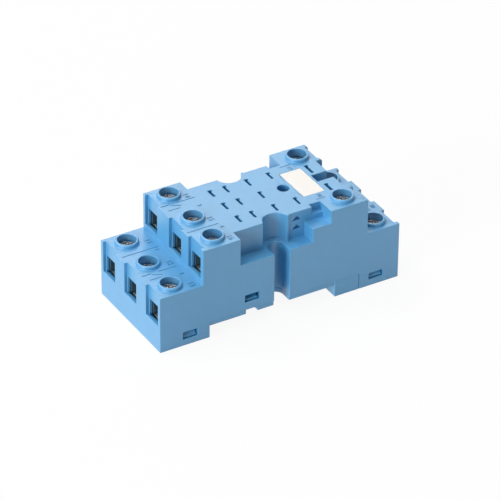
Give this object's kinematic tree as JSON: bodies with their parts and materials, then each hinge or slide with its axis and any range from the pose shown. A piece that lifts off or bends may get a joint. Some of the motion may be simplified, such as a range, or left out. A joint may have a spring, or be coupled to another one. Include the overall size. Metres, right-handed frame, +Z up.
{
  "type": "relay socket",
  "caption": "Stepped moulded socket for a plug-in relay, with screw clamp terminals in two tiers at each end, for a rail or a panel.",
  "frame": {"origin": "centre of the footprint, on the plane of the feet", "axes": "+X towards the latch end, +Y towards the left long side seen from the near end, +Z up out of the deck"},
  "size_m": [0.068, 0.03, 0.0266],
  "materials": {
    "housing_blue": "light blue moulded polyamide, satin",
    "plate_blue": "light blue moulded polyamide, satin",
    "tag_white": "white moulded plastic",
    "screw_steel": "zinc-plated steel",
    "clamp_steel": "nickel-plated steel",
    "contact_tin": "tin-plated copper alloy"
  },
  "bodies": {
    "socket": {"housing": "housing_blue", "base_plate": "plate_blue", "marker_tag": "tag_white", "clamp_box_1": "clamp_steel", "clamp_box_2": "clamp_steel", "clamp_box_3": "clamp_steel", "clamp_box_4": "clamp_steel", "clamp_box_5": "clamp_steel", "clamp_box_6": "clamp_steel", "clamp_box_7": "clamp_steel", "clamp_box_8": "clamp_steel", "clamp_box_9": "clamp_steel", "clamp_box_10": "clamp_steel", "clamp_box_11": "clamp_steel", "contact_strip_1": "contact_tin", "contact_strip_2": "contact_tin", "contact_strip_3": "contact_tin", "contact_strip_4": "contact_tin", "contact_strip_5": "contact_tin", "contact_strip_6": "contact_tin", "contact_strip_7": "contact_tin", "contact_strip_8": "contact_tin", "contact_strip_9": "contact_tin", "contact_strip_10": "contact_tin", "contact_strip_11": "contact_tin"},
    "latch": {"rail_latch": "plate_blue"},
    "plate_1": {"pressure_plate_1": "clamp_steel"},
    "screw_1": {"terminal_screw_1": "screw_steel"},
    "plate_2": {"pressure_plate_2": "clamp_steel"},
    "screw_2": {"terminal_screw_2": "screw_steel"},
    "plate_3": {"pressure_plate_3": "clamp_steel"},
    "screw_3": {"terminal_screw_3": "screw_steel"},
    "plate_4": {"pressure_plate_4": "clamp_steel"},
    "screw_4": {"terminal_screw_4": "screw_steel"},
    "plate_5": {"pressure_plate_5": "clamp_steel"},
    "screw_5": {"terminal_screw_5": "screw_steel"},
    "plate_6": {"pressure_plate_6": "clamp_steel"},
    "screw_6": {"terminal_screw_6": "screw_steel"},
    "plate_7": {"pressure_plate_7": "clamp_steel"},
    "screw_7": {"terminal_screw_7": "screw_steel"},
    "plate_8": {"pressure_plate_8": "clamp_steel"},
    "screw_8": {"terminal_screw_8": "screw_steel"},
    "plate_9": {"pressure_plate_9": "clamp_steel"},
    "screw_9": {"terminal_screw_9": "screw_steel"},
    "plate_10": {"pressure_plate_10": "clamp_steel"},
    "screw_10": {"terminal_screw_10": "screw_steel"},
    "plate_11": {"pressure_plate_11": "clamp_steel"},
    "screw_11": {"terminal_screw_11": "screw_steel"}
  },
  "joints": [
    {"name": "latch_slide", "type": "slide", "parent": "socket", "child": "latch", "axis": [1, 0, 0], "range_m": [0, 0.0022], "stiffness_N_per_m": 2000, "springref_m": -0.002},
    {"name": "plate_slide_1", "type": "slide", "parent": "socket", "child": "plate_1", "axis": [0, 0, -1], "range_m": [-0.0021, 0.0006]},
    {"name": "screw_turn_1", "type": "hinge", "parent": "plate_1", "child": "screw_1", "pos_m": [-0.029, 0.01085, 0.0128], "axis": [0, 0, -1], "range_deg": [-1514, 434]},
    {"name": "plate_slide_2", "type": "slide", "parent": "socket", "child": "plate_2", "axis": [0, 0, -1], "range_m": [-0.0026, 0.0001]},
    {"name": "screw_turn_2", "type": "hinge", "parent": "plate_2", "child": "screw_2", "pos_m": [-0.029, 0, 0.0128], "axis": [0, 0, -1], "range_deg": [-1874, 74]},
    {"name": "plate_slide_3", "type": "slide", "parent": "socket", "child": "plate_3", "axis": [0, 0, -1], "range_m": [-0.0021, 0.0006]},
    {"name": "screw_turn_3", "type": "hinge", "parent": "plate_3", "child": "screw_3", "pos_m": [-0.029, -0.01085, 0.0128], "axis": [0, 0, -1], "range_deg": [-1514, 434]},
    {"name": "plate_slide_4", "type": "slide", "parent": "socket", "child": "plate_4", "axis": [0, 0, -1], "range_m": [-0.0021, 0.0006]},
    {"name": "screw_turn_4", "type": "hinge", "parent": "plate_4", "child": "screw_4", "pos_m": [-0.017, 0.011, 0.0227], "axis": [0, 0, -1], "range_deg": [-1514, 434]},
    {"name": "plate_slide_5", "type": "slide", "parent": "socket", "child": "plate_5", "axis": [0, 0, -1], "range_m": [-0.0021, 0.0006]},
    {"name": "screw_turn_5", "type": "hinge", "parent": "plate_5", "child": "screw_5", "pos_m": [-0.017, -0.001, 0.0227], "axis": [0, 0, -1], "range_deg": [-1514, 434]},
    {"name": "plate_slide_6", "type": "slide", "parent": "socket", "child": "plate_6", "axis": [0, 0, -1], "range_m": [-0.0026, 0.0001]},
    {"name": "screw_turn_6", "type": "hinge", "parent": "plate_6", "child": "screw_6", "pos_m": [-0.017, -0.0106, 0.0227], "axis": [0, 0, -1], "range_deg": [-1874, 74]},
    {"name": "plate_slide_7", "type": "slide", "parent": "socket", "child": "plate_7", "axis": [0, 0, -1], "range_m": [-0.0026, 0.0001]},
    {"name": "screw_turn_7", "type": "hinge", "parent": "plate_7", "child": "screw_7", "pos_m": [0.01965, 0.01085, 0.0227], "axis": [0, 0, -1], "range_deg": [-1874, 74]},
    {"name": "plate_slide_8", "type": "slide", "parent": "socket", "child": "plate_8", "axis": [0, 0, -1], "range_m": [-0.0021, 0.0006]},
    {"name": "screw_turn_8", "type": "hinge", "parent": "plate_8", "child": "screw_8", "pos_m": [0.01965, -0.01085, 0.0227], "axis": [0, 0, -1], "range_deg": [-1514, 434]},
    {"name": "plate_slide_9", "type": "slide", "parent": "socket", "child": "plate_9", "axis": [0, 0, -1], "range_m": [-0.0021, 0.0006]},
    {"name": "screw_turn_9", "type": "hinge", "parent": "plate_9", "child": "screw_9", "pos_m": [0.029, 0.01085, 0.0128], "axis": [0, 0, -1], "range_deg": [-1514, 434]},
    {"name": "plate_slide_10", "type": "slide", "parent": "socket", "child": "plate_10", "axis": [0, 0, -1], "range_m": [-0.0021, 0.0006]},
    {"name": "screw_turn_10", "type": "hinge", "parent": "plate_10", "child": "screw_10", "pos_m": [0.029, 0, 0.0128], "axis": [0, 0, -1], "range_deg": [-1514, 434]},
    {"name": "plate_slide_11", "type": "slide", "parent": "socket", "child": "plate_11", "axis": [0, 0, -1], "range_m": [-0.0021, 0.0006]},
    {"name": "screw_turn_11", "type": "hinge", "parent": "plate_11", "child": "screw_11", "pos_m": [0.029, -0.01085, 0.0128], "axis": [0, 0, -1], "range_deg": [-1514, 434]}
  ],
  "couplings": [
    {"joint": "screw_turn_1", "follows": "plate_slide_1", "rad_per_m": 12566},
    {"joint": "screw_turn_2", "follows": "plate_slide_2", "rad_per_m": 12566},
    {"joint": "screw_turn_3", "follows": "plate_slide_3", "rad_per_m": 12566},
    {"joint": "screw_turn_4", "follows": "plate_slide_4", "rad_per_m": 12566},
    {"joint": "screw_turn_5", "follows": "plate_slide_5", "rad_per_m": 12566},
    {"joint": "screw_turn_6", "follows": "plate_slide_6", "rad_per_m": 12566},
    {"joint": "screw_turn_7", "follows": "plate_slide_7", "rad_per_m": 12566},
    {"joint": "screw_turn_8", "follows": "plate_slide_8", "rad_per_m": 12566},
    {"joint": "screw_turn_9", "follows": "plate_slide_9", "rad_per_m": 12566},
    {"joint": "screw_turn_10", "follows": "plate_slide_10", "rad_per_m": 12566},
    {"joint": "screw_turn_11", "follows": "plate_slide_11", "rad_per_m": 12566}
  ]
}
